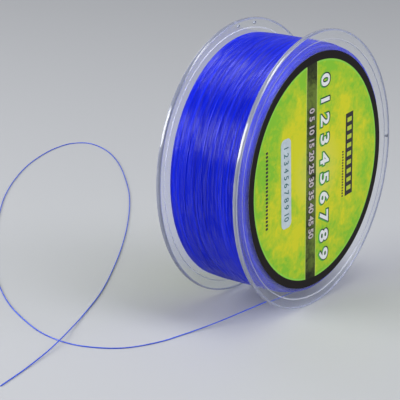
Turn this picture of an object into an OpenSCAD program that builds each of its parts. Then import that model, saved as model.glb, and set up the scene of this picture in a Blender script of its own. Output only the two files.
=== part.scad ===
// Spool of fishing line. A clear moulded body in two halves carries a winding
// of monofilament, has a paper label in a shallow recess on each side, and its
// line runs off the bottom of the winding and lies loose on the table.
//
// The spool's axis lies along Y, with the printed side towards -Y and +Z up.
// The origin is on the axis, half way between the two flanges.

/* [Spool body] */
// Diameter of both flanges
flange_d = 115; // [95:1:140]
// Width over both flanges
spool_w = 38.5; // [32:0.5:60]
// Thickness of each flange
flange_t = 2; // [1.6:0.1:3]
// Radius that rounds both edges of each rim
rim_round = 0.75; // [0.1:0.05:0.75]
// Width of the flat band between the label recess and the rim's edge
rim_band = 4.3; // [3:0.1:6]
// Depth of the label recess
recess_depth = 0.3; // [0.3:0.02:0.6]

/* [Hub] */
// Outside diameter of the drum that the line is wound on
drum_d = 74; // [50:1:78]
// Wall thickness of the drum
drum_wall = 1.8; // [1.4:0.1:3]
// Diameter of the bore that takes a spindle
bore_d = 22; // [10:0.5:28]
// Wall thickness of the tube around the bore
arbor_wall = 2; // [1:0.1:4]
// Number of ribs between the tube and the drum in each half
rib_count = 4; // [3:1:8]
// Thickness of a rib
rib_t = 1.5; // [1:0.1:3]
// Length of the spigot that centres one half in the other
spigot_len = 4; // [2:0.5:8]
// Radial clearance between the spigot and its socket
spigot_gap = 0.1; // [0.05:0.01:0.2]

/* [Line end holes] */
// Diameter of the small holes that park the end of the line
park_hole_d = 1.2; // [0.8:0.1:1.6]
// Distance from the rim's edge to the middle of a hole
park_hole_inset = 2.2; // [1.6:0.1:2.6]

/* [Labels] */
// Gap all round between a label and the edge of its recess
label_margin = 4.3; // [1:0.1:8]
// Thickness of the label paper
label_t = 0.2; // [0.1:0.01:0.2]
// Width of the bare ring between the bore and the plain side's label
label_hole_margin = 2; // [0.5:0.1:4]
// Turn of the printed label from upright, in degrees
label_turn = -3.3; // [-180:0.1:180]
// Width of the size sticker
sticker_w = 7; // [5:0.1:12]
// Length of the size sticker
sticker_len = 37.2; // [20:0.2:50]
// Corner radius of the size sticker
sticker_round = 2.4; // [0.5:0.1:2.5]
// Thickness of the size sticker
sticker_t = 0.08; // [0.05:0.01:0.09]
// Distance of the size sticker's middle from the axis
sticker_offset = 23; // [16:0.5:28]
// Height of the size sticker's middle above the axis
sticker_rise = 0.8; // [-4:0.1:4]

/* [Line] */
// Diameter of the monofilament
line_d = 0.5; // [0.3:0.05:0.6]
// Depth of the winding's surface below the rim
line_drop = 6.5; // [5:0.1:9]
// Turns in the outer layer
top_turns = 24; // [12:1:24]
// Length of the tape that holds the line's inner end, in degrees of the drum
tape_arc = 34; // [15:1:60]
// Width of that tape
tape_w = 12; // [6:1:19]
// Thickness of that tape
tape_t = 0.12; // [0.06:0.01:0.14]

/* [Hidden] */
$fn = 96;

flange_r = flange_d / 2;
half_w = spool_w / 2;
recess_r = flange_r - rim_band;
label_r = recess_r - label_margin;
drum_r = drum_d / 2;
drum_inner_r = drum_r - drum_wall;
lap_r = drum_r - drum_wall / 2;
bore_r = bore_d / 2;
arbor_r = bore_r + arbor_wall;
label_hole_r = bore_r + label_hole_margin;
winding_r = flange_r - line_drop;
inner_face_y = half_w - flange_t;

// Space left past the end of the spigot, how far the ribs stop short of it, and
// how deep they root in the walls.
spigot_end_gap = 0.2;
rib_stop = 1.2;
rib_root = 0.6;
overcut = 1;

// Holes that park the line's end, as angles about the axis from +X towards +Z.
printed_side_holes = [3];
plain_side_holes = [83, 95];

// The line's play between the flanges, its space over the drum, which holds the
// tape, and the space under the tape.
side_gap = 0.05;
drum_gap = 0.2;
tape_gap = 0.04;

// Route of the free line: off the bottom of the winding, down to the table,
// once round in a wide loop and over itself. The last point is its cut end.
lies_z = -57.25;
line_route = [
    [5, -13.5, -50.5], [-2, -13.4, -51.25], [-10, -11, -52.4], [-20, -8, -53.7],
    [-32, -4.7, -55.2], [-45, -1.5, -56.5], [-60, 2, lies_z], [-73.5, 5, lies_z],
    [-86, 11.5, lies_z], [-93, 21, lies_z], [-96, 32.5, lies_z], [-94, 47, lies_z],
    [-87, 63, lies_z], [-77, 80, lies_z], [-62, 99, lies_z], [-42.5, 119, lies_z],
    [-18.5, 140.5, lies_z], [6, 161, lies_z], [31.5, 180.5, lies_z], [56.5, 196.5, lies_z],
    [81.5, 209.5, lies_z], [103.5, 217.5, lies_z], [118.5, 220.5, lies_z], [129.5, 219.8, lies_z],
    [135.5, 213.5, lies_z], [134, 204, lies_z], [127.5, 191.5, lies_z], [115, 175.5, lies_z],
    [97, 157, lies_z], [73.5, 135.5, lies_z], [46.5, 114.5, lies_z], [17, 94, lies_z],
    [-13.5, 75, lies_z], [-43, 58.5, lies_z], [-69, 46.8, -57.15], [-84.8, 40.2, -56.75],
    [-97.5, 35.1, -56.3], [-109.5, 31.6, -56.75], [-127, 27.6, lies_z], [-143, 24.4, lies_z]
];
route_steps = 2;
line_sides = 8;

// The outer layer is one tube with this many rings a turn. The flats between
// its rings dip towards the core, which stays just clear of them.
turn_rings = 24;
turn_sides = 6;
core_gap = 0.02;
top_layer_r = winding_r - line_d / 2;
core_r = top_layer_r * cos(180 / turn_rings) - line_d / 2 - core_gap;
// The layer starts square off a flange, and bends into its first turn.
start_bend_r = 1;
start_bend_steps = 5;
first_turn_y = inner_face_y - line_d - start_bend_r;
// It ends where the free line's route starts, just before the bottom.
leave_y = -line_route[0].y;
leave_angle = atan2(line_route[0].z, line_route[0].x) + atan(line_d / top_layer_r);
turn_pitch = (first_turn_y + leave_y) / top_turns;

function unit(v) = v / norm(v);
function radial(a) = [cos(a), 0, sin(a)];
function along_turn(a) = [sin(a), 0, -cos(a)];

// One ring of a tube about the point p, square to dir. The first corner lies
// towards side.
function tube_ring(p, dir, side, r, sides) =
    let (across = unit(side - (side * dir) * dir), up = cross(dir, across))
    [for (k = [0 : sides - 1])
        p + r * (cos(360 * k / sides) * across + sin(360 * k / sides) * up)];

// Triangles of a tube's wall, and those that close its first and last ring.
function tube_wall(rings, sides) =
    [for (i = [0 : rings - 2], k = [0 : sides - 1])
        let (a = i * sides + k, b = i * sides + (k + 1) % sides)
        each [[a, a + sides, b], [b, a + sides, b + sides]]];
function tube_caps(rings, sides) =
    let (last = (rings - 1) * sides)
    [for (k = [1 : sides - 2])
        each [[0, k, k + 1], [last, last + k + 1, last + k]]];

// Smooth curve through the route's points: its place and its direction at the
// fraction t of the way from point i to the next. It never dips into the table.
function route_point(i) =
    let (last = len(line_route) - 1)
    i < 0 ? 2 * line_route[0] - line_route[1]
    : i > last ? 2 * line_route[last] - line_route[last - 1]
    : line_route[i];
function curve_at(i, t) =
    let (a = route_point(i - 1), b = route_point(i), c = route_point(i + 1), d = route_point(i + 2),
        p = b + (c - a) * t / 2
            + (2 * a - 5 * b + 4 * c - d) * t * t / 2
            + (3 * b - a - 3 * c + d) * t * t * t / 2)
    [p.x, p.y, max(p.z, lies_z)];
function curve_dir(i, t) =
    let (a = route_point(i - 1), b = route_point(i), c = route_point(i + 1), d = route_point(i + 2))
    unit((c - a) / 2
        + (2 * a - 5 * b + 4 * c - d) * t
        + (3 * b - a - 3 * c + d) * 3 * t * t / 2);

// Rings of the free line, each as [place, direction, side].
function line_ring(i, t) =
    let (dir = curve_dir(i, t))
    [curve_at(i, t), dir, cross(dir, [0, 0, 1])];
line_rings = [
    for (i = [0 : len(line_route) - 2], s = [0 : route_steps - 1]) line_ring(i, s / route_steps),
    line_ring(len(line_route) - 2, 1)
];

// Rings of the outer layer: the quarter bend that starts it, its turns, and the
// straight end that meets the free line.
function start_ring(bend) =
    let (a = leave_angle + 360 * top_turns + start_bend_r * cos(bend) / top_layer_r * 180 / PI)
    [top_layer_r * radial(a) + [0, inner_face_y - line_d - start_bend_r * sin(bend), 0],
        sin(bend) * along_turn(a) - cos(bend) * [0, 1, 0],
        radial(a)];
function turn_ring(turns_left) =
    let (a = leave_angle + 360 * turns_left)
    [top_layer_r * radial(a) + [0, turn_pitch * turns_left - leave_y, 0],
        along_turn(a),
        radial(a)];
layer_start = start_ring(0);
layer_end = turn_ring(0);
layer_rings = concat(
    [[layer_start[0] + [0, line_d, 0], layer_start[1], layer_start[2]]],
    [for (s = [0 : start_bend_steps - 1]) start_ring(90 * s / start_bend_steps)],
    [for (i = [top_turns * turn_rings : -1 : 0]) turn_ring(i / turn_rings)],
    [[layer_end[0] + line_d * layer_end[1], layer_end[1], layer_end[2]]]);

// Least gap between stretches of the outer layer that are half a turn or more
// apart, and the length of the free line.
function sum(list) = [for (v = list) 1] * list;
least_gap = min([
    for (i = [0 : len(layer_rings) - 1 - turn_rings / 2],
            j = [i + turn_rings / 2 : min(i + 2 * turn_rings, len(layer_rings) - 1)])
        norm(layer_rings[i][0] - layer_rings[j][0])]) - line_d;
free_length = sum([
    for (i = [1 : len(line_rings) - 1]) norm(line_rings[i][0] - line_rings[i - 1][0])]);
echo(outer_layer_least_gap_mm = least_gap);
echo(free_line_length_mm = free_length);

// Lays a shape that is modelled upwards from a spool face along the axis, with
// its foot at the distance y.
module from_face(y) {
    translate([0, y, 0]) rotate([-90, 0, 0]) children();
}

// Cutter that leaves one edge of the rim with its radius.
module rim_edge_cutter() {
    difference() {
        square(rim_round + overcut);
        circle(rim_round);
    }
}

// Half of a spool body, standing on its outer face. joint_r is the radius of
// the step in the drum's end, and joint_len how far its inner part stands past
// the middle of the spool, or stays short of it.
module body_half(joint_r, joint_len) {
    difference() {
        rotate_extrude() {
            difference() {
                polygon([
                    [bore_r, recess_depth], [recess_r, recess_depth], [recess_r, 0],
                    [flange_r, 0], [flange_r, flange_t], [drum_r, flange_t],
                    [drum_r, half_w], [joint_r, half_w], [joint_r, half_w + joint_len],
                    [drum_inner_r, half_w + joint_len], [drum_inner_r, flange_t],
                    [arbor_r, flange_t], [arbor_r, half_w], [bore_r, half_w]
                ]);
                translate([flange_r - rim_round, flange_t - rim_round]) rim_edge_cutter();
                translate([flange_r - rim_round, rim_round]) mirror([0, 1]) rim_edge_cutter();
            }
        }
        children();
    }
    for (i = [0 : rib_count - 1])
        rotate([0, 0, 360 * (i + 0.5) / rib_count])
            translate([arbor_r - rib_root, -rib_t / 2, flange_t - rib_root])
                cube([
                    drum_inner_r - arbor_r + 2 * rib_root, rib_t,
                    half_w - spigot_len - rib_stop - flange_t + rib_root
                ]);
}

// Small holes through a flange, at the given angles.
module park_holes(angles) {
    for (a = angles)
        rotate([0, 0, a])
            translate([flange_r - park_hole_inset, 0, -overcut])
                cylinder(d = park_hole_d, h = flange_t + 2 * overcut);
}

// Half with the socket, on the printed side.
module printed_side_half() {
    color([0.86, 0.88, 0.93, 0.35])
        from_face(-half_w)
            body_half(lap_r, -spigot_len)
                park_holes([for (a = printed_side_holes) -a]);
}

// Half with the spigot, on the plain side.
module plain_side_half() {
    color([0.86, 0.88, 0.93, 0.35])
        mirror([0, 1, 0])
            from_face(-half_w)
                body_half(lap_r - spigot_gap, spigot_len - spigot_end_gap)
                    park_holes([for (a = plain_side_holes) -a]);
}

// Round paper label that fills the middle of its recess and covers the bore.
module printed_label() {
    color([0.55, 0.78, 0.25])
        from_face(-half_w + recess_depth - label_t)
            cylinder(r = label_r, h = label_t);
}

// Sticker with rounded corners, upright on the printed label.
module size_sticker() {
    color([0.68, 0.71, 0.8])
        rotate([0, label_turn, 0])
            from_face(-half_w + recess_depth - label_t - sticker_t)
                translate([-sticker_offset, -sticker_rise, 0])
                    linear_extrude(sticker_t) {
                        square([sticker_w - 2 * sticker_round, sticker_len], center = true);
                        square([sticker_w, sticker_len - 2 * sticker_round], center = true);
                        for (x = [-1, 1], y = [-1, 1])
                            translate([
                                x * (sticker_w / 2 - sticker_round),
                                y * (sticker_len / 2 - sticker_round)
                            ])
                                circle(sticker_round);
                    }
}

// Ring label on the plain side, open around the bore.
module plain_side_label() {
    color([0.55, 0.78, 0.25])
        from_face(half_w - recess_depth)
            difference() {
                cylinder(r = label_r, h = label_t);
                translate([0, 0, -overcut]) cylinder(r = label_hole_r, h = label_t + 2 * overcut);
            }
}

// Strip of tape that holds the inner end of the line on the drum.
module line_end_tape() {
    color([0.9, 0.88, 0.75])
        from_face(-tape_w / 2)
            rotate_extrude(angle = tape_arc)
                translate([drum_r + tape_gap, 0]) square([tape_t, tape_w]);
}

// Inner layers of the winding, as one ring that fills the space between the flanges.
module line_pack() {
    color([0.05, 0.12, 0.8])
        from_face(-inner_face_y + side_gap)
            difference() {
                cylinder(r = core_r, h = 2 * (inner_face_y - side_gap));
                translate([0, 0, -overcut])
                    cylinder(r = drum_r + drum_gap, h = 2 * (inner_face_y + overcut));
            }
}

// Outer layer of the winding.
module line_outer_layer() {
    color([0.1, 0.2, 0.9])
        tube(layer_rings, line_d / 2, turn_sides);
}

// Stretch of line between the winding and the line's cut end.
module free_line() {
    color([0.1, 0.25, 0.85])
        tube(line_rings, line_d / 2, line_sides);
}

// Closed tube of the radius r through rings of [place, direction, side].
module tube(rings, r, sides) {
    polyhedron(
        points = [for (ring = rings) each tube_ring(ring[0], ring[1], ring[2], r, sides)],
        faces = concat(tube_wall(len(rings), sides), tube_caps(len(rings), sides)));
}

printed_side_half();
plain_side_half();
printed_label();
size_sticker();
plain_side_label();
line_end_tape();
line_pack();
line_outer_layer();
free_line();
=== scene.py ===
import math

import bmesh
import bpy
from mathutils import Matrix, Vector, noise


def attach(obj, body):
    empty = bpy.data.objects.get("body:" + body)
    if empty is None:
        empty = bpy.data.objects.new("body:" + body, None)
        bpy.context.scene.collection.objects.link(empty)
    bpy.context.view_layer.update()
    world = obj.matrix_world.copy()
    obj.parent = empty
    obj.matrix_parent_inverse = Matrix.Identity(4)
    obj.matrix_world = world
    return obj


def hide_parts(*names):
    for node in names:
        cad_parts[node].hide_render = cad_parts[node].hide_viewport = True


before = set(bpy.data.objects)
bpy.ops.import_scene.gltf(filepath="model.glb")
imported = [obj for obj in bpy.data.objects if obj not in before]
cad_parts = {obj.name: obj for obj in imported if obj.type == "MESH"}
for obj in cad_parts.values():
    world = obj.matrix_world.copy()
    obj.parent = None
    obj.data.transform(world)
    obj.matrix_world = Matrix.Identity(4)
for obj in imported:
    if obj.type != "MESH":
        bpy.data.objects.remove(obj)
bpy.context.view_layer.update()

# ---- The view ----------------------------------------------------------------
# The spool is seen from its printed side, from the left and a little above,
# through a long lens. The image is square.
MM = 0.001
EYE = Vector((-582.5, -381.7, 197.5)) * MM
EYE_AZIMUTH = math.radians(-54.15)
EYE_ELEVATION = math.radians(17.11)
EYE_ROLL = math.radians(0.75)
EYE_LENS_MM = 158.7


def add_object(name, data):
    """A new object in the scene."""
    thing = bpy.data.objects.new(name, data)
    bpy.context.scene.collection.objects.link(thing)
    return thing


eye_data = bpy.data.cameras.new("eye")
eye_data.lens = EYE_LENS_MM
eye_data.sensor_width = 36
eye_data.clip_start = 0.01
eye_data.clip_end = 50
eye = add_object("eye", eye_data)
bpy.context.scene.camera = eye
eye.matrix_world = (
    Matrix.Translation(EYE)
    @ Matrix.Rotation(EYE_AZIMUTH, 4, "Z")
    @ Matrix.Rotation(math.pi / 2 - EYE_ELEVATION, 4, "X")
    @ Matrix.Rotation(EYE_ROLL, 4, "Z")
)

# ---- The loose stretch of line -------------------------------------------------
# Monofilament nylon, 0.5 mm thick and dyed deep blue. It runs off the bottom of
# the winding, lies on the table in one wide loop, and passes over itself in a
# low hump. Its end is cut.
LINE_D = 0.5 * MM
LIES_Z = -0.05725
LINE_ROUTE = [
    (0.005, -0.0135, -0.0505), (-0.002, -0.0134, -0.05125), (-0.01, -0.011, -0.0524),
    (-0.02, -0.008, -0.0537), (-0.032, -0.0047, -0.0552), (-0.045, -0.0015, -0.0565),
    (-0.06, 0.002, LIES_Z), (-0.0735, 0.005, LIES_Z), (-0.086, 0.0115, LIES_Z),
    (-0.093, 0.021, LIES_Z), (-0.096, 0.0325, LIES_Z), (-0.094, 0.047, LIES_Z),
    (-0.087, 0.063, LIES_Z), (-0.077, 0.08, LIES_Z), (-0.062, 0.099, LIES_Z),
    (-0.0425, 0.119, LIES_Z), (-0.0185, 0.1405, LIES_Z), (0.006, 0.161, LIES_Z),
    (0.0315, 0.1805, LIES_Z), (0.0565, 0.1965, LIES_Z), (0.0815, 0.2095, LIES_Z),
    (0.1035, 0.2175, LIES_Z), (0.1185, 0.2205, LIES_Z), (0.1295, 0.2198, LIES_Z),
    (0.1355, 0.2135, LIES_Z), (0.134, 0.204, LIES_Z), (0.1275, 0.1915, LIES_Z),
    (0.115, 0.1755, LIES_Z), (0.097, 0.157, LIES_Z), (0.0735, 0.1355, LIES_Z),
    (0.0465, 0.1145, LIES_Z), (0.017, 0.094, LIES_Z), (-0.0135, 0.075, LIES_Z),
    (-0.043, 0.0585, LIES_Z), (-0.069, 0.0468, -0.05715), (-0.0848, 0.0402, -0.05675),
    (-0.0975, 0.0351, -0.0563), (-0.1095, 0.0316, -0.05675), (-0.127, 0.0276, LIES_Z),
    (-0.143, 0.0244, LIES_Z),
]


def new_piece(name, data, material):
    """An object of the spool, with its material. It rides on the spool's only body."""
    piece = add_object(name, data)
    piece.data.materials.append(material)
    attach(piece, "root")
    return piece


def put(tree, kind, inputs=(), **settings):
    """A new shader node. inputs gives each socket its value, or the output that feeds it."""
    node = tree.nodes.new("ShaderNode" + kind)
    for name, value in settings.items():
        setattr(node, name, value)
    for name, value in dict(inputs).items():
        if isinstance(value, bpy.types.NodeSocket):
            tree.links.new(value, node.inputs[name])
        else:
            node.inputs[name].default_value = value
    return node


def new_material(name):
    """An empty node material. Gives it and its tree."""
    material = bpy.data.materials.new(name)
    material.use_nodes = True
    material.node_tree.nodes.clear()
    return material, material.node_tree


def blend(tree, mask, under, top):
    """A colour that goes from under, where mask is 0, to top, where it is 1."""
    return put(tree, "Mix", {0: mask, 6: under, 7: top}, data_type="RGBA").outputs[2]


def line_data(name, sides):
    """Curve data for round line."""
    data = bpy.data.curves.new(name, "CURVE")
    data.dimensions = "3D"
    data.bevel_depth = LINE_D / 2
    data.bevel_resolution = (sides - 4) // 2
    data.use_fill_caps = True
    return data


def add_smooth_run(data, points, lowest):
    """Adds a smooth curve through the points, which never dips below the height lowest."""
    spline = data.splines.new("BEZIER")
    spline.bezier_points.add(len(points) - 1)
    spline.resolution_u = 8
    before = [2 * points[0] - points[1]] + points[:-1]
    after = points[1:] + [2 * points[-1] - points[-2]]
    for knot, here, last, coming in zip(spline.bezier_points, points, before, after):
        reach = (coming - last) / 6
        knot.handle_left_type = knot.handle_right_type = "FREE"
        knot.co = here
        knot.handle_left = here - reach
        knot.handle_right = here + reach
        knot.handle_left.z = max(knot.handle_left.z, lowest)
        knot.handle_right.z = max(knot.handle_right.z, lowest)


# Dyed nylon, with slow changes of depth along the line.
loose_nylon, tree = new_material("loose_nylon")
where = put(tree, "TexCoord").outputs["Object"]
depth = put(tree, "TexNoise", {"Vector": where, "Scale": 60, "Detail": 2})
blue = blend(tree, depth.outputs["Fac"], (0.010, 0.040, 0.45, 1), (0.03, 0.12, 0.85, 1))
shine = put(tree, "MapRange", {"Value": depth.outputs["Fac"], "To Min": 0.12, "To Max": 0.3})
nylon = put(tree, "BsdfPrincipled", {
    "Base Color": blue, "Roughness": shine.outputs[0], "IOR": 1.53, "Coat Weight": 0.4})
put(tree, "OutputMaterial", {"Surface": nylon.outputs[0]})

loose_data = line_data("loose_line", 10)
add_smooth_run(loose_data, [Vector(p) for p in LINE_ROUTE], LIES_Z)
loose_line = new_piece("loose_line", loose_data, loose_nylon)
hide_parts("free_line")

# ---- The wound line --------------------------------------------------------------
# The same line, machine wound in close turns. Its outer layer is one unbroken
# run of turns over a layer that leans the other way, and a few stretches cross
# over it. The layers below show only at the winding's two sides.
WINDING_R = 51 * MM
WINDING_HALF_W = 17.2 * MM
# How far the winding's middle stands proud of its sides.
WINDING_CROWN = 0.6 * MM
# How much fuller it is on top, next to the plain side's flange.
WINDING_SWELL = 0.45 * MM
DRUM_R = 37 * MM
DRUM_CLEARANCE = 0.3 * MM
TURN_PITCH = 0.507 * MM
LAYER_STEP = 0.43 * MM
POINTS_A_TURN = 96
TURN_WANDER = 0.08 * MM
TURN_LIFT = 0.04 * MM
CROSSINGS = 12
CROSSING_STEPS = 48
# A crossing starts and ends sunk in the outer layer, and rises out of it between.
CROSSING_SINK = 0.3 * MM
CROSSING_RISE = 0.5 * MM
END_ANGLE = math.atan2(LINE_ROUTE[0][2], LINE_ROUTE[0][0])
END_Y = LINE_ROUTE[0][1]


def turn_point(angle, radius, y, seed):
    """A point on a turn, which wanders a little to the side and up."""
    # Each turn follows a circle through the noise, well apart from its neighbours'.
    spot = Vector((math.cos(angle) * 1.3, math.sin(angle) * 1.3, seed + y / TURN_PITCH * 1.618))
    side = noise.noise(spot) * TURN_WANDER
    lift = noise.noise(spot + Vector((31, 17, 5))) * TURN_LIFT
    y = max(-WINDING_HALF_W + LINE_D / 2, min(WINDING_HALF_W - LINE_D / 2, y + side))
    radius += lift + WINDING_CROWN * (1 - (y / WINDING_HALF_W) ** 4)
    radius += WINDING_SWELL * max(0, math.sin(angle)) * (y + WINDING_HALF_W) / (2 * WINDING_HALF_W)
    return Vector((radius * math.cos(angle), y, radius * math.sin(angle)))


def add_run(data, points):
    """Adds a run of line through closely spaced points."""
    spline = data.splines.new("POLY")
    spline.points.add(len(points) - 1)
    for knot, p in zip(spline.points, points):
        knot.co = (*p, 1)
    spline.use_smooth = True


def add_layer(data, radius, first_y, last_y, end_angle, lean, seed):
    """Adds one layer of turns from first_y to last_y. It ends at end_angle.

    Its last quarter of a turn goes over to a plain circle, where the next stretch joins it.
    """
    turns = abs(last_y - first_y) / TURN_PITCH
    steps = round(turns * POINTS_A_TURN)
    run = []
    for i in range(steps + 1):
        left = turns * (1 - i / steps)
        angle = end_angle + lean * 2 * math.pi * left
        y = first_y + (last_y - first_y) * i / steps
        plain = Vector((radius * math.cos(angle), y, radius * math.sin(angle)))
        run.append(plain.lerp(turn_point(angle, radius, y, seed), min(1, left * 4)))
    add_run(data, run)


def add_crossing(data, angle, sweep, y, shift, seed):
    """Adds a stretch that climbs out of the outer layer, crosses some turns and dives back."""
    run = []
    for i in range(CROSSING_STEPS + 1):
        t = i / CROSSING_STEPS
        rise = math.sin(math.pi * t) ** 0.5 * CROSSING_RISE
        radius = WINDING_R - LINE_D / 2 - CROSSING_SINK + rise
        run.append(turn_point(angle + sweep * t, radius, y + shift * (3 * t * t - 2 * t ** 3), seed))
    add_run(data, run)


def streaks(tree, where, lean, length, width):
    """Noise drawn out along the turns, and turned by lean against them.

    Drawn out, it is turned again, so that its grid doesn't line up with the turns.
    """
    leaning = put(tree, "Mapping", {"Vector": where, "Rotation": lean})
    drawn = put(tree, "Mapping", {"Vector": leaning.outputs[0], "Rotation": (0.6, 0.4, 0.7),
                                  "Scale": (1 / length, 1 / width, 1 / length)})
    return put(tree, "TexNoise", {"Vector": drawn.outputs[0], "Scale": 1, "Detail": 0}).outputs["Fac"]


# Wound nylon: the same dye. Long streaks along the turns differ in depth of colour,
# and shorter ones in gloss.
wound_nylon, tree = new_material("wound_nylon")
where = put(tree, "TexCoord").outputs["Object"]
dye = streaks(tree, where, lean=(0.01, 0, 0.005), length=50 * MM, width=0.7 * MM)
polish = streaks(tree, where, lean=(-0.01, 0, 0.01), length=8 * MM, width=0.6 * MM)
depth = put(tree, "MapRange", {"Value": dye, "From Min": 0.14, "From Max": 0.86})
blue = blend(tree, depth.outputs[0], (0.0003, 0.004, 0.38, 1), (0.002, 0.020, 0.80, 1))
shine = put(tree, "MapRange", {"Value": dye, "From Min": 0.3, "From Max": 0.7,
                               "To Min": 0.28, "To Max": 0.24})
gloss = put(tree, "MapRange", {"Value": polish, "From Min": 0.38, "From Max": 0.62,
                               "To Min": 0.1, "To Max": 0.9})
nylon = put(tree, "BsdfPrincipled", {
    "Base Color": blue, "Roughness": shine.outputs[0], "IOR": 1.53, "Specular IOR Level": 0.10,
    "Coat Weight": gloss.outputs[0], "Coat IOR": 1.5, "Coat Roughness": 0.25})
put(tree, "OutputMaterial", {"Surface": nylon.outputs[0]})

outer_data = line_data("outer_turns", 8)
add_layer(outer_data, WINDING_R - LINE_D / 2, first_y=WINDING_HALF_W - LINE_D / 2, last_y=END_Y,
          end_angle=END_ANGLE, lean=1, seed=3.1)
# Uneven steps spread the crossings from the winding's top round its left to below.
for k in range(CROSSINGS):
    angle = math.radians(85 + 137.5 * k % 260)
    sweep = math.radians(60 + 67 * k % 75)
    y = (-15 + 61 * k % 29) * MM
    shift = (0.9 + 0.3 * (k % 7)) * (1 if k % 3 else -1) * MM
    add_crossing(outer_data, angle, sweep, y, shift, seed=40 + 7 * k)
outer_turns = new_piece("outer_turns", outer_data, wound_nylon)
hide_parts("line_outer_layer")

under_data = line_data("under_turns", 6)
add_layer(under_data, WINDING_R - LINE_D / 2 - LAYER_STEP, first_y=-WINDING_HALF_W + LINE_D / 2,
          last_y=WINDING_HALF_W - LINE_D / 2, end_angle=END_ANGLE + 1, lean=-1, seed=9.7)
new_piece("under_turns", under_data, wound_nylon)


def as_mesh(name, shape):
    """The bmesh as a mesh."""
    mesh = bpy.data.meshes.new(name)
    shape.to_mesh(mesh)
    shape.free()
    return mesh


def revolve(name, edge, steps):
    """A closed mesh turned about the spool's axis from the edge, a loop of (radius, y)."""
    shape = bmesh.new()
    corners = [shape.verts.new((r, y, 0)) for r, y in edge]
    sides = [shape.edges.new(pair) for pair in zip(corners, corners[1:] + corners[:1])]
    bmesh.ops.spin(shape, geom=corners + sides, axis=(0, 1, 0), cent=(0, 0, 0),
                   steps=steps, angle=2 * math.pi, use_merge=True)
    bmesh.ops.recalc_face_normals(shape, faces=shape.faces)
    return as_mesh(name, shape)


def shade(mesh, sharp_from_deg):
    """Smooth shading, broken at edges sharper than the angle."""
    mesh.polygons.foreach_set("use_smooth", [True] * len(mesh.polygons))
    mesh.set_sharp_from_angle(angle=math.radians(sharp_from_deg))


def winding_side(side):
    """The side of the winding as a row of half-round turns, from the drum outwards."""
    rows = int((WINDING_R - 2 * LINE_D - DRUM_R) / LAYER_STEP)
    points = []
    for row in range(rows):
        r = DRUM_R + DRUM_CLEARANCE + LINE_D / 2 + row * LAYER_STEP
        for lean_deg in (-70, -35, 0, 35, 70):
            lean = math.radians(lean_deg)
            points.append((r + LINE_D / 2 * math.sin(lean),
                           side * (WINDING_HALF_W - LINE_D / 2 * (1 - math.cos(lean)))))
    return points


inner_mesh = revolve("inner_layers", winding_side(-1) + winding_side(1)[::-1], steps=120)
shade(inner_mesh, sharp_from_deg=50)
inner_layers = new_piece("inner_layers", inner_mesh, wound_nylon)
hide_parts("line_pack")

# ---- The two clear halves -----------------------------------------------------
# Clear polystyrene mouldings. Each has a flange with a shallow label recess, half
# of the drum, half of the tube round the bore and four ribs. A spigot on the
# plain side's half centres it in the printed side's half, and they are glued.
FLANGE_R = 57.5 * MM
HALF_W = 19.25 * MM
FLANGE_T = 2 * MM
RIM_ROUND = 0.75 * MM
RECESS_FOOT_ROUND = 0.12 * MM
RECESS_STEP_ROUND = 0.15 * MM
DRUM_FOOT_ROUND = 0.5 * MM
HUB_FOOT_ROUND = 0.4 * MM
RECESS_R = 53.2 * MM
RECESS_DEPTH = 0.3 * MM
# A worn ring lies beside the recess's step. Its pale material is also a painted highlight along the step.
STEP_RING_W = 0.35 * MM
DRUM_INNER_R = 35.2 * MM
LAP_R = 36.1 * MM
LAP_GAP = 0.1 * MM
BORE_R = 11 * MM
ARBOR_R = 13 * MM
RIB_T = 1.5 * MM
RIB_STOP = 5.2 * MM
RIB_ROOT = 0.6 * MM
SOCKET_LEN = 4 * MM
SPIGOT_LEN = 3.8 * MM
PARK_HOLE_R = 0.6 * MM
PARK_HOLE_AT = 55.3 * MM
# How far from the recess's step and from a hole's middle their own faces lie.
STEP_REACH = 0.3 * MM
HOLE_REACH = 0.8 * MM
RECESS_SLACK = 0.05 * MM


def rounded(profile):
    """A loop of (radius, y) points, with arcs, from a profile of (radius, y, rounding)."""
    face = bmesh.new()
    corners = [face.verts.new((r, y, 0)) for r, y, rounding in profile]
    face.faces.new(corners)
    for corner, (r, y, rounding) in zip(corners, profile):
        if rounding:
            bmesh.ops.bevel(face, geom=[corner], offset=rounding, offset_type="OFFSET",
                            affect="VERTICES", segments=6, profile=0.5, material=-1)
    loop = [tuple(v.co[:2]) for v in face.faces[:][0].verts]
    face.free()
    return loop


def applied(thing):
    """The object's mesh, with its modifiers applied or its text drawn."""
    graph = bpy.context.evaluated_depsgraph_get()
    return bpy.data.meshes.new_from_object(thing.evaluated_get(graph))


def ribs(name, flip):
    """Four ribs between the bore's tube and the drum."""
    shape = bmesh.new()
    reach = DRUM_INNER_R - ARBOR_R + 2 * RIB_ROOT
    low = FLANGE_T - RIB_ROOT - HALF_W
    high = -RIB_STOP
    for quarter in range(4):
        size = Matrix.Diagonal((reach, high - low, RIB_T, 1))
        spot = Matrix.Translation((ARBOR_R - RIB_ROOT + reach / 2, flip * (low + high) / 2, 0))
        turn = Matrix.Rotation(math.radians(45 + 90 * quarter), 4, "Y")
        bmesh.ops.create_cube(shape, size=1, matrix=turn @ spot @ size)
    return as_mesh(name, shape)


def park_holes(name, angles_deg, flip):
    """Cutters for the small holes that park the line's end. Angles go from +X towards +Z."""
    shape = bmesh.new()
    for angle in angles_deg:
        turn = Matrix.Rotation(math.radians(-angle), 4, "Y")
        spot = Matrix.Translation((PARK_HOLE_AT, flip * (FLANGE_T / 2 - HALF_W), 0))
        lie = Matrix.Rotation(math.pi / 2, 4, "X")
        bmesh.ops.create_cone(shape, cap_ends=True, segments=24, radius1=PARK_HOLE_R,
                              radius2=PARK_HOLE_R, depth=2 * FLANGE_T, matrix=turn @ spot @ lie)
    return as_mesh(name, shape)


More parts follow.
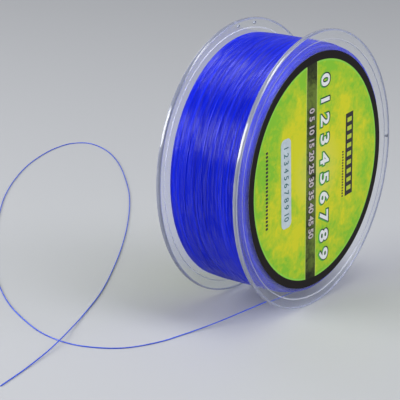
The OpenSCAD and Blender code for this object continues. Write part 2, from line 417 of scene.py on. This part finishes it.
def keep_flat(mesh):
    """Sharp edges round the faces that lie square to the axis, so that their shading stays flat."""
    shape = bmesh.new()
    shape.from_mesh(mesh)
    for edge in shape.edges:
        flat = [abs(face.normal.y) > 0.999 for face in edge.link_faces]
        if any(flat) and not all(flat):
            edge.smooth = False
    shape.to_mesh(mesh)
    shape.free()


def body_half(name, joint_r, joint_len, holes_deg, flip):
    """Half of the spool's body. flip is 1 for the half towards -Y, and -1 for the other."""
    profile = [
        (BORE_R, RECESS_DEPTH, 0), (RECESS_R, RECESS_DEPTH, RECESS_FOOT_ROUND),
        (RECESS_R, 0, RECESS_STEP_ROUND), (RECESS_R + STEP_RING_W, 0, 0),
        (FLANGE_R, 0, RIM_ROUND), (FLANGE_R, FLANGE_T, RIM_ROUND),
        (DRUM_R, FLANGE_T, DRUM_FOOT_ROUND), (DRUM_R, HALF_W, 0),
        (joint_r, HALF_W, 0), (joint_r, HALF_W + joint_len, 0),
        (DRUM_INNER_R, HALF_W + joint_len, 0), (DRUM_INNER_R, FLANGE_T, HUB_FOOT_ROUND),
        (ARBOR_R, FLANGE_T, 0), (ARBOR_R, HALF_W, 0), (BORE_R, HALF_W, 0),
    ]
    profile = [(r, flip * (y - HALF_W), rounding) for r, y, rounding in profile]
    half = add_object(name, revolve(name, rounded(profile), steps=192))
    rib_mesh = ribs(name + "_ribs", flip)
    hole_mesh = park_holes(name + "_holes", holes_deg, flip)
    for tool_mesh, operation in ((rib_mesh, "UNION"), (hole_mesh, "DIFFERENCE")):
        tool = add_object(tool_mesh.name, tool_mesh)
        cut = half.modifiers.new(operation, "BOOLEAN")
        cut.object = tool
        cut.operation = operation
        cut.solver = "EXACT"
        made = applied(half)
        half.modifiers.clear()
        half.data = made
        bpy.data.objects.remove(tool)
    bpy.data.objects.remove(half)
    made.name = name
    made.materials.clear()
    shade(made, sharp_from_deg=40)
    keep_flat(made)
    return made


def distance_from_axis(tree, where):
    """How far a place is from the spool's axis."""
    axes = put(tree, "SeparateXYZ", {0: where})
    flat = put(tree, "CombineXYZ", {"X": axes.outputs["X"], "Z": axes.outputs["Z"]})
    return put(tree, "VectorMath", {0: flat.outputs[0]}, operation="LENGTH").outputs["Value"]


def lets_lamps_through(tree, plastic):
    """Puts the plastic on the material's output. To a lamp's rays it is only a pale tint."""
    gone = put(tree, "BsdfTransparent", {"Color": (0.86, 0.88, 0.93, 1)})
    path = put(tree, "LightPath")
    either = put(tree, "MixShader", {
        0: path.outputs["Is Shadow Ray"], 1: plastic.outputs[0], 2: gone.outputs[0]})
    put(tree, "OutputMaterial", {"Surface": either.outputs[0]})


# Clear plastic. Fine rings from the mould's turned faces and hairline scuffs show
# in its gloss.
clear_plastic, tree = new_material("clear_plastic")
where = put(tree, "TexCoord").outputs["Object"]
ring_at = put(tree, "CombineXYZ", {"X": distance_from_axis(tree, where)})
rings = put(tree, "TexNoise", {"Vector": ring_at.outputs[0], "Scale": 2400, "Detail": 2})
scuffs = put(tree, "TexNoise", {"Vector": where, "Scale": 180, "Detail": 5, "Distortion": 1.5})
relief = put(tree, "Math", {0: rings.outputs["Fac"], 1: scuffs.outputs["Fac"]}, operation="ADD")
bump = put(tree, "Bump", {"Height": relief.outputs[0], "Strength": 0.10, "Distance": 0.1 * MM})
haze = put(tree, "MapRange", {"Value": scuffs.outputs["Fac"], "From Min": 0.35, "From Max": 0.7,
                              "To Min": 0.01, "To Max": 0.06})
plastic = put(tree, "BsdfPrincipled", {
    "Base Color": (0.95, 0.965, 1.0, 1), "Roughness": haze.outputs[0], "IOR": 1.5,
    "Transmission Weight": 1.0, "Normal": bump.outputs[0]})
lets_lamps_through(tree, plastic)


def unpolished(name, clearness, gloss, dull, pale):
    """Plastic with a worn or cut surface, which scatters part of the light. Its tint also paints light
    where used: a highlight on the label's step, a glow in the rim and shade in the park holes.
    """
    material, tree = new_material(name)
    where = put(tree, "TexCoord").outputs["Object"]
    wear = put(tree, "TexNoise", {"Vector": where, "Scale": 90, "Detail": 3})
    haze = put(tree, "MapRange", {"Value": wear.outputs["Fac"], "To Min": 0.12, "To Max": 0.3})
    plastic = put(tree, "BsdfPrincipled", {
        "Base Color": blend(tree, wear.outputs["Fac"], dull, pale), "Roughness": haze.outputs[0],
        "IOR": 1.5, "Transmission Weight": clearness,
        "Coat Weight": gloss, "Coat IOR": 1.7, "Coat Roughness": 0.12})
    lets_lamps_through(tree, plastic)
    return material


# The step's edge is scuffed, and its pale tint is also a painted highlight along the step round the label.
step_wear_and_highlight = unpolished("step_wear_and_highlight", clearness=0.6, gloss=0.0,
                       dull=(0.70, 0.73, 0.82, 1), pale=(0.84, 0.86, 0.94, 1))
# Painted glow: the rim's grey-lilac tint stands in for the light and blue that the clear rim gathers, over
# its own scattering surface.
rim_painted_glow = unpolished("rim_painted_glow", clearness=0.55, gloss=1.0,
                      dull=(0.36, 0.40, 0.56, 1), pale=(0.48, 0.52, 0.70, 1))
# Painted shade: the park holes' walls are an opaque dark grey that stands in for the shade inside them.
hole_painted_shade = unpolished("hole_painted_shade", clearness=0.0, gloss=0.0,
                       dull=(0.22, 0.24, 0.29, 1), pale=(0.28, 0.30, 0.36, 1))


def add_edges(half):
    """Gives the step round the label, the rim and the holes their materials, which paint a highlight, a
    glow and shade.
    """
    for material in (step_wear_and_highlight, rim_painted_glow, hole_painted_shade):
        half.data.materials.append(material)
    for face in half.data.polygons:
        r = math.hypot(face.center.x, face.center.z)
        outside = abs(face.center.y) > HALF_W - RECESS_DEPTH - RECESS_SLACK
        level = abs(face.normal.y)
        if outside and abs(r - RECESS_R) < STEP_REACH:
            face.material_index = 1
        elif abs(r - PARK_HOLE_AT) < HOLE_REACH and level < 0.1:
            face.material_index = 3
        elif r > FLANGE_R - RIM_ROUND and level < 0.995:
            face.material_index = 2


printed_mesh = body_half("printed_half", LAP_R, -SOCKET_LEN, holes_deg=[3], flip=1)
printed_half = new_piece("printed_half", printed_mesh, clear_plastic)
add_edges(printed_half)
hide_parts("printed_side_half")
plain_mesh = body_half("plain_half", LAP_R - LAP_GAP, SPIGOT_LEN, holes_deg=[83, 95], flip=-1)
plain_half = new_piece("plain_half", plain_mesh, clear_plastic)
add_edges(plain_half)
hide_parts("plain_side_half")

# ---- The tape on the drum --------------------------------------------------------
# A strip of clear tape, gone a little yellow, stuck over the line's inner end on
# the drum before the line is wound on.
tape_film, tree = new_material("tape_film")
where = put(tree, "TexCoord").outputs["Object"]
age = put(tree, "TexNoise", {"Vector": where, "Scale": 150, "Detail": 3})
tint = blend(tree, age.outputs["Fac"], (0.80, 0.74, 0.52, 1), (0.9, 0.87, 0.7, 1))
film = put(tree, "BsdfPrincipled", {"Base Color": tint, "Roughness": 0.25})
put(tree, "OutputMaterial", {"Surface": film.outputs[0]})
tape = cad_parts["line_end_tape"]
tape.data.materials.clear()
tape.data.materials.append(tape_film)

# ---- The printed label ------------------------------------------------------------
# Satin paper, printed in mottled green and yellow inside a black ring, and glued
# in its recess. It covers the bore. The print leans 2.2 degrees to the left.
LABEL_R = 48.9 * MM
LABEL_T = 0.2 * MM
# Inside the black ring, the green has a pale edge. The paper's cut edge is grey.
GREEN_R = 45.5 * MM
PALE_EDGE_W = 0.7 * MM
CUT_EDGE_W = 0.02 * MM
LABEL_FACE_Y = -HALF_W + RECESS_DEPTH - LABEL_T
PRINT_LEAN = math.radians(-2.2)
BAND_X = -4.7 * MM
BAND_W = 7.3 * MM
BAND_FRINGE_W = 0.3 * MM


def paper_disc(name, outer_r, inner_r, low_y, high_y):
    """A round of label paper with softened edges, with a hole if inner_r isn't 0."""
    soft = 0.03 * MM
    if inner_r:
        edge = [(outer_r, low_y + soft), (outer_r, high_y - soft), (outer_r - soft, high_y),
                (inner_r + soft, high_y), (inner_r, high_y - soft), (inner_r, low_y + soft),
                (inner_r + soft, low_y), (outer_r - soft, low_y)]
        mesh = revolve(name, edge, steps=256)
    else:
        shape = bmesh.new()
        spot = Matrix.Translation((0, (low_y + high_y) / 2, 0))
        lie = Matrix.Rotation(math.pi / 2, 4, "X")
        bmesh.ops.create_cone(shape, cap_ends=True, segments=256, radius1=outer_r, radius2=outer_r,
                              depth=high_y - low_y, matrix=spot @ lie)
        rim = [e for e in shape.edges if any(len(f.verts) > 4 for f in e.link_faces)]
        bmesh.ops.bevel(shape, geom=rim, offset=soft, affect="EDGES", segments=1, profile=0.5,
                        material=-1)
        mesh = as_mesh(name, shape)
    shade(mesh, sharp_from_deg=30)
    return mesh


def mottle_group():
    """Soft blotches of two colours, as in a sponged print."""
    group = bpy.data.node_groups.new("mottle", "ShaderNodeTree")
    for name, kind in (("Vector", "Vector"), ("Scale", "Float"), ("Balance", "Float"),
                       ("Dark", "Color"), ("Light", "Color")):
        group.interface.new_socket(name, in_out="INPUT", socket_type="NodeSocket" + kind)
    group.interface.new_socket("Color", in_out="OUTPUT", socket_type="NodeSocketColor")
    given = group.nodes.new("NodeGroupInput")
    result = group.nodes.new("NodeGroupOutput")
    where, scale, balance, dark, light = given.outputs[:5]
    blotch = put(group, "TexNoise", {"Vector": where, "Scale": scale, "Detail": 6, "Roughness": 0.68,
                                     "Distortion": 0.25})
    closer = put(group, "VectorMath", {0: where, "Scale": 6.0}, operation="SCALE")
    grain = put(group, "TexNoise", {"Vector": closer.outputs[0], "Scale": scale, "Detail": 3})
    finer = put(group, "MapRange", {"Value": grain.outputs["Fac"], "To Min": -0.15, "To Max": 0.15})
    shifted = put(group, "Math", {0: blotch.outputs["Fac"], 1: balance}, operation="ADD")
    grainy = put(group, "Math", {0: shifted.outputs[0], 1: finer.outputs[0]}, operation="ADD")
    mask = put(group, "MapRange", {"Value": grainy.outputs[0], "From Min": 0.36, "From Max": 0.64})
    group.links.new(blend(group, mask.outputs[0], dark, light), result.inputs["Color"])
    return group


MOTTLE = mottle_group()


def mottled(tree, where, scale, balance, dark, light):
    """The colour that the mottle group gives in a material."""
    inputs = {"Vector": where, "Scale": scale, "Balance": balance, "Dark": dark, "Light": light}
    return put(tree, "Group", inputs, node_tree=MOTTLE).outputs["Color"]


def more_than(tree, value, limit):
    """A mask that is 1 where the value is above the limit."""
    return put(tree, "Math", {0: value, 1: limit}, operation="GREATER_THAN").outputs[0]


def less_than(tree, value, limit):
    """A mask that is 1 where the value is below the limit."""
    return put(tree, "Math", {0: value, 1: limit}, operation="LESS_THAN").outputs[0]


def with_band(tree, where, radius, colour):
    """The colour with the dark olive band and its pale fringe over it."""
    axes = put(tree, "SeparateXYZ", {0: where})
    from_band = put(tree, "Math", {0: axes.outputs["X"], 1: BAND_X}, operation="SUBTRACT")
    off_band = put(tree, "Math", {0: from_band.outputs[0]}, operation="ABSOLUTE").outputs[0]
    fringe = less_than(tree, off_band, BAND_W / 2 + BAND_FRINGE_W)
    colour = blend(tree, fringe, colour, (0.52, 0.66, 0.16, 1))
    olive = mottled(tree, where, scale=130, balance=0.03,
                    dark=(0.008, 0.010, 0.005, 1), light=(0.13, 0.19, 0.03, 1))
    to_ends = put(tree, "MapRange", {"Value": radius, "From Min": 37 * MM, "From Max": GREEN_R,
                                     "To Max": 0.85})
    olive = blend(tree, to_ends.outputs[0], olive, (0.010, 0.009, 0.007, 1))
    return blend(tree, less_than(tree, off_band, BAND_W / 2), colour, olive)


def label_paper(name, has_band):
    """The printed paper's material."""
    material, tree = new_material(name)
    object_at = put(tree, "TexCoord").outputs["Object"]
    where = put(tree, "Mapping", {"Vector": object_at, "Rotation": (0, -PRINT_LEAN, 0)}).outputs[0]
    radius = distance_from_axis(tree, where)
    balance = put(tree, "MapRange", {"Value": radius, "From Min": 14 * MM, "From Max": GREEN_R,
                                     "To Min": 0.16, "To Max": -0.09})
    colour = mottled(tree, where, scale=85, balance=balance.outputs[0],
                     dark=(0.23, 0.53, 0.03, 1), light=(0.63, 0.63, 0.02, 1))
    glow = put(tree, "MapRange", {"Value": radius, "From Max": 18 * MM, "To Min": 0.45, "To Max": 0})
    colour = blend(tree, glow.outputs[0], colour, (0.66, 0.66, 0.22, 1))
    pale = more_than(tree, radius, GREEN_R - PALE_EDGE_W)
    colour = blend(tree, pale, colour, (0.26, 0.62, 0.07, 1))
    if has_band:
        colour = with_band(tree, where, radius, colour)
    colour = blend(tree, more_than(tree, radius, GREEN_R), colour, (0.009, 0.006, 0.006, 1))
    cut = more_than(tree, radius, LABEL_R - CUT_EDGE_W)
    colour = blend(tree, cut, colour, (0.10, 0.10, 0.11, 1))
    fibre = put(tree, "TexNoise", {"Vector": where, "Scale": 2600, "Detail": 3})
    bump = put(tree, "Bump", {"Height": fibre.outputs["Fac"], "Strength": 0.12, "Distance": 0.05 * MM})
    shine = put(tree, "MapRange", {"Value": fibre.outputs["Fac"], "To Min": 0.38, "To Max": 0.55})
    paper = put(tree, "BsdfPrincipled", {"Base Color": colour, "Roughness": shine.outputs[0],
                                         "Specular IOR Level": 0.10, "Normal": bump.outputs[0]})
    put(tree, "OutputMaterial", {"Surface": paper.outputs[0]})
    return material


# The unprinted back of the paper, with its thin, uneven glue.
paper_back, tree = new_material("paper_back")
where = put(tree, "TexCoord").outputs["Object"]
glue = put(tree, "TexNoise", {"Vector": where, "Scale": 220, "Detail": 4, "Distortion": 0.8})
tint = blend(tree, glue.outputs["Fac"], (0.66, 0.65, 0.60, 1), (0.82, 0.82, 0.79, 1))
shine = put(tree, "MapRange", {"Value": glue.outputs["Fac"], "To Min": 0.4, "To Max": 0.7})
paper = put(tree, "BsdfPrincipled", {"Base Color": tint, "Roughness": shine.outputs[0]})
put(tree, "OutputMaterial", {"Surface": paper.outputs[0]})


def add_paper_back(label, side):
    """Gives the label's glued face, which looks towards side times +Y, its bare paper."""
    label.data.materials.append(paper_back)
    for face in label.data.polygons:
        if face.normal.y * side > 0.5:
            face.material_index = 1


label_mesh = paper_disc("label_printed", LABEL_R, 0, LABEL_FACE_Y, LABEL_FACE_Y + LABEL_T)
printed_paper = label_paper("printed_paper", has_band=True)
printed_label = new_piece("label_printed", label_mesh, printed_paper)
add_paper_back(printed_label, 1)
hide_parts("printed_label")


def put_ink(tree, tint):
    """Puts satin ink on the material's output."""
    layer = put(tree, "BsdfPrincipled", {"Base Color": tint, "Roughness": 0.4, "Specular IOR Level": 0.25})
    put(tree, "OutputMaterial", {"Surface": layer.outputs[0]})


def ink(name, colour, worn):
    """Screen-printed ink, a little thinner in places."""
    material, tree = new_material(name)
    where = put(tree, "TexCoord").outputs["Object"]
    cover = put(tree, "TexNoise", {"Vector": where, "Scale": 700, "Detail": 3})
    put_ink(tree, blend(tree, cover.outputs["Fac"], colour, worn))
    return material


def shade_ink():
    """The ink behind the big numerals, green in the row's middle and black towards its ends."""
    material, tree = new_material("shade_ink")
    axes = put(tree, "SeparateXYZ", {0: put(tree, "TexCoord").outputs["Object"]})
    off_middle = put(tree, "Math", {0: axes.outputs["Z"]}, operation="ABSOLUTE")
    black = put(tree, "MapRange", {"Value": off_middle.outputs[0],
                                   "From Min": 8 * MM, "From Max": 26 * MM})
    put_ink(tree, blend(tree, black.outputs[0], (0.02, 0.16, 0.012, 1), (0.010, 0.009, 0.010, 1)))
    return material


white_ink = ink("white_ink", (0.86, 0.88, 0.88, 1), (0.66, 0.69, 0.70, 1))
pink_ink = ink("pink_ink", (0.62, 0.55, 0.56, 1), (0.42, 0.36, 0.37, 1))
green_ink = ink("green_ink", (0.05, 0.36, 0.03, 1), (0.12, 0.45, 0.05, 1))
black_ink = ink("black_ink", (0.010, 0.009, 0.010, 1), (0.022, 0.020, 0.022, 1))
lime_ink = ink("lime_ink", (0.52, 0.60, 0.03, 1), (0.40, 0.54, 0.04, 1))
INK_T = 0.02 * MM
BIG_ROW = "0 1 2 3 4 5 6 7 8 9"
BAND_ROW = "0 5 10 15 20 25 30 35 40 45 50"
ROWS_Z = -0.5 * MM
BAR_X = 24.2 * MM
BAR_SLANT = 0.06


def on_label(x, z, face_y, lean):
    """The place of a mark on the printed side, from its place on the upright print."""
    return Matrix.Rotation(lean, 4, "Y") @ Matrix.Translation((x, face_y, z))


def numerals(name, words, x, z, size, stretch, weight, face_y, thick, material, lean):
    """A row of plain numerals that reads downwards, with its middle at (x, z) on the print.

    Its strokes are made wider by a bevel, which is then pressed flat into a film of ink.
    """
    text = bpy.data.curves.new(name, "FONT")
    text.body = words
    text.size = size
    text.bevel_depth = weight
    text.bevel_resolution = 0
    text.align_x = "CENTER"
    text.align_y = "CENTER"
    text.resolution_u = 4
    drawn = add_object(name, text)
    mesh = applied(drawn)
    bpy.data.objects.remove(drawn)
    stand = Matrix.Rotation(math.pi / 2, 4, "X")
    read_down = Matrix.Rotation(math.pi / 2, 4, "Y")
    press = Matrix.Diagonal((stretch, 1, thick / (2 * weight), 1))
    mesh.transform(on_label(x, z, face_y - thick / 2, lean) @ read_down @ stand @ press)
    shade(mesh, sharp_from_deg=30)
    mesh.name = name
    mesh.materials.clear()
    new_piece(name, mesh, material)


def column(name, x, top_z, step, count, width, height, face_y, material, slant=0):
    """A column of flat printed marks on the print, the first at top_z. Their ends may slant."""
    shape = bmesh.new()
    for k in range(count):
        size = Matrix.Diagonal((width, INK_T, height, 1))
        shear = Matrix.Identity(4)
        shear[2][0] = slant * width / height
        spot = on_label(x, top_z - k * step, face_y - INK_T / 2, PRINT_LEAN)
        bmesh.ops.create_cube(shape, size=1, matrix=spot @ size @ shear)
    new_piece(name, as_mesh(name, shape), material)


# Each row's place across the print, size and weight are in millimetres. Its layer
# is the number of films of ink that lie under it.
for name, words, x, size, stretch, weight, layer, material in (
    ("big_numerals_glow", BIG_ROW, 4.5, 8.7, 1.22, 0.80, 0, green_ink),
    ("big_numerals_shade", BIG_ROW, 5.2, 8.7, 1.22, 0.60, 1, shade_ink()),
    ("big_numerals", BIG_ROW, 4.9, 8.7, 1.22, 0.22, 2, white_ink),
    ("band_numerals_shade", BAND_ROW, -4.9, 4.9, 0.88, 0.45, 0, black_ink),
    ("band_numerals", BAND_ROW, -4.7, 4.9, 0.88, 0.15, 1, pink_ink),
):
    numerals(name, words, x * MM, ROWS_Z, size * MM, stretch, weight * MM,
             face_y=LABEL_FACE_Y - layer * INK_T, thick=INK_T, material=material,
             lean=PRINT_LEAN)

# A black bar with bright blocks, and rows of small dots beside it and near the
# label's edge.
column("black_bar", BAR_X, top_z=0.9 * MM, step=0, count=1, width=5.7 * MM, height=35.5 * MM,
       face_y=LABEL_FACE_Y, material=black_ink, slant=BAR_SLANT)
column("bar_blocks", BAR_X, top_z=15.7 * MM, step=3.7 * MM, count=9, width=3.3 * MM, height=1.9 * MM,
       face_y=LABEL_FACE_Y - INK_T, material=lime_ink, slant=BAR_SLANT)
column("bar_dots", 19.4 * MM, top_z=2.8 * MM, step=1.2 * MM, count=17, width=1.1 * MM, height=0.7 * MM,
       face_y=LABEL_FACE_Y, material=black_ink)
column("edge_dots", -36.5 * MM, top_z=16.5 * MM, step=1.55 * MM, count=21, width=1.5 * MM,
       height=0.95 * MM, face_y=LABEL_FACE_Y, material=black_ink)

# ---- The size sticker ---------------------------------------------------------------
# A small grey-blue paper sticker, cut with round corners and stuck on the printed
# label. One row of plain numerals is printed on it.
STICKER_X = -23 * MM
STICKER_Z = 0.8 * MM
STICKER_T = 0.08 * MM
STICKER_INK_T = 0.015 * MM
STICKER_LEAN = math.radians(-3.3)
sticker_paper, tree = new_material("sticker_paper")
where = put(tree, "TexCoord").outputs["Object"]
tint = mottled(tree, where, scale=400, balance=0.05,
               dark=(0.43, 0.51, 0.57, 1), light=(0.53, 0.62, 0.67, 1))
fibre = put(tree, "TexNoise", {"Vector": where, "Scale": 2600, "Detail": 3})
bump = put(tree, "Bump", {"Height": fibre.outputs["Fac"], "Strength": 0.15, "Distance": 0.05 * MM})
shine = put(tree, "MapRange", {"Value": fibre.outputs["Fac"], "To Min": 0.45, "To Max": 0.62})
paper = put(tree, "BsdfPrincipled", {"Base Color": tint, "Roughness": shine.outputs[0],
                                     "Normal": bump.outputs[0]})
put(tree, "OutputMaterial", {"Surface": paper.outputs[0]})
teal_ink = ink("teal_ink", (0.02, 0.10, 0.11, 1), (0.05, 0.17, 0.18, 1))
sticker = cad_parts["size_sticker"]
sticker.data.materials.clear()
sticker.data.materials.append(sticker_paper)
numerals("sticker_numerals", "1 2 3 4 5 6 7 8 9 10", STICKER_X, STICKER_Z, size=4.5 * MM, stretch=0.88,
         weight=0.06 * MM, face_y=LABEL_FACE_Y - STICKER_T, thick=STICKER_INK_T, material=teal_ink,
         lean=STICKER_LEAN)

# ---- The plain side's label --------------------------------------------------------
# A ring of the same paper with a wide hole round the bore. It has no band, and is
# printed with plain rings and a circle of ticks.
LABEL_HOLE_R = 13 * MM
HOLE_RING_GAP = 0.6 * MM
HOLE_RING_W = 2.8 * MM
THIN_RING_R = 40.3 * MM
THIN_RING_W = 0.9 * MM
TICKS = 60
LONG_TICK_EVERY = 5
TICK_R = 39.2 * MM
TICK_W = 0.6 * MM
TICK_LEN = 2 * MM
LONG_TICK_LEN = 3.6 * MM
BACK_FACE_Y = HALF_W - RECESS_DEPTH + LABEL_T
back_mesh = paper_disc("label_plain", LABEL_R, LABEL_HOLE_R, BACK_FACE_Y - LABEL_T, BACK_FACE_Y)
plain_paper = label_paper("plain_paper", has_band=False)
back_label = new_piece("label_plain", back_mesh, plain_paper)
add_paper_back(back_label, -1)
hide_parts("plain_side_label")


def printed_ring(name, inner_r, width):
    """A printed ring on the plain side's label."""
    outer_r = inner_r + width
    edge = [(inner_r, BACK_FACE_Y), (outer_r, BACK_FACE_Y), (outer_r, BACK_FACE_Y + INK_T),
            (inner_r, BACK_FACE_Y + INK_T)]
    new_piece(name, revolve(name, edge, steps=192), black_ink)


printed_ring("hole_ring", LABEL_HOLE_R + HOLE_RING_GAP, HOLE_RING_W)
printed_ring("thin_ring", THIN_RING_R, THIN_RING_W)
ticks = bmesh.new()
for k in range(TICKS):
    tick_len = TICK_LEN if k % LONG_TICK_EVERY else LONG_TICK_LEN
    turn = Matrix.Rotation(2 * math.pi * k / TICKS, 4, "Y")
    spot = Matrix.Translation((TICK_R - tick_len / 2, BACK_FACE_Y + INK_T / 2, 0))
    size = Matrix.Diagonal((tick_len, INK_T, TICK_W, 1))
    bmesh.ops.create_cube(ticks, size=1, matrix=turn @ spot @ size)
new_piece("ticks", as_mesh("ticks", ticks), black_ink)

# ---- The studio -------------------------------------------------------------------
# A plain pale floor that runs on as the backdrop. A strip lamp hangs above, a
# little in front, and another low on the left, towards the back. A soft lamp in
# front on the right and a weak one behind fill the shadows.
FLOOR_Z = -57.5 * MM
FLOOR_HALF_W = 6
ground = bmesh.new()
bmesh.ops.create_grid(ground, x_segments=1, y_segments=1, size=FLOOR_HALF_W,
                      matrix=Matrix.Translation((0, 0, FLOOR_Z)))
floor_paint, tree = new_material("floor_paint")
paint = put(tree, "BsdfPrincipled", {"Base Color": (0.44, 0.45, 0.47, 1), "Roughness": 0.6})
put(tree, "OutputMaterial", {"Surface": paint.outputs[0]})
floor = add_object("floor", as_mesh("floor", ground))
floor.data.materials.append(floor_paint)


def soft_lamp(name, spot, size, watts, length=None):
    """A soft lamp that faces the spool. A strip lamp, which has a length, lies along its axis."""
    data = bpy.data.lights.new(name, "AREA")
    data.size = size
    data.energy = watts
    if length:
        data.shape = "RECTANGLE"
        data.size_y = length
    lamp = add_object(name, data)
    lamp.location = spot
    back = Vector(spot).normalized()
    along = (Vector((0, 1, 0)) - back.y * back).normalized()
    lamp.rotation_euler = Matrix((along.cross(back), along, back)).transposed().to_euler()


soft_lamp("key", (0.02, -0.40, 0.92), size=0.35, watts=6.7, length=1.0)
soft_lamp("side", (-0.73, 0.56, 0.39), size=0.45, watts=9.5, length=1.0)
soft_lamp("front", (0.50, -1.00, 0.45), size=0.6, watts=4.0)
soft_lamp("back", (0.3, 0.9, 0.6), size=0.5, watts=1.5)

world = bpy.data.worlds.new("studio")
bpy.context.scene.world = world
world.use_nodes = True
world.node_tree.nodes.clear()
sky = put(world.node_tree, "Background", {"Color": (0.80, 0.82, 0.86, 1), "Strength": 0.4})
put(world.node_tree, "OutputWorld", {"Surface": sky.outputs[0]})

bpy.context.scene.view_settings.view_transform = "Standard"
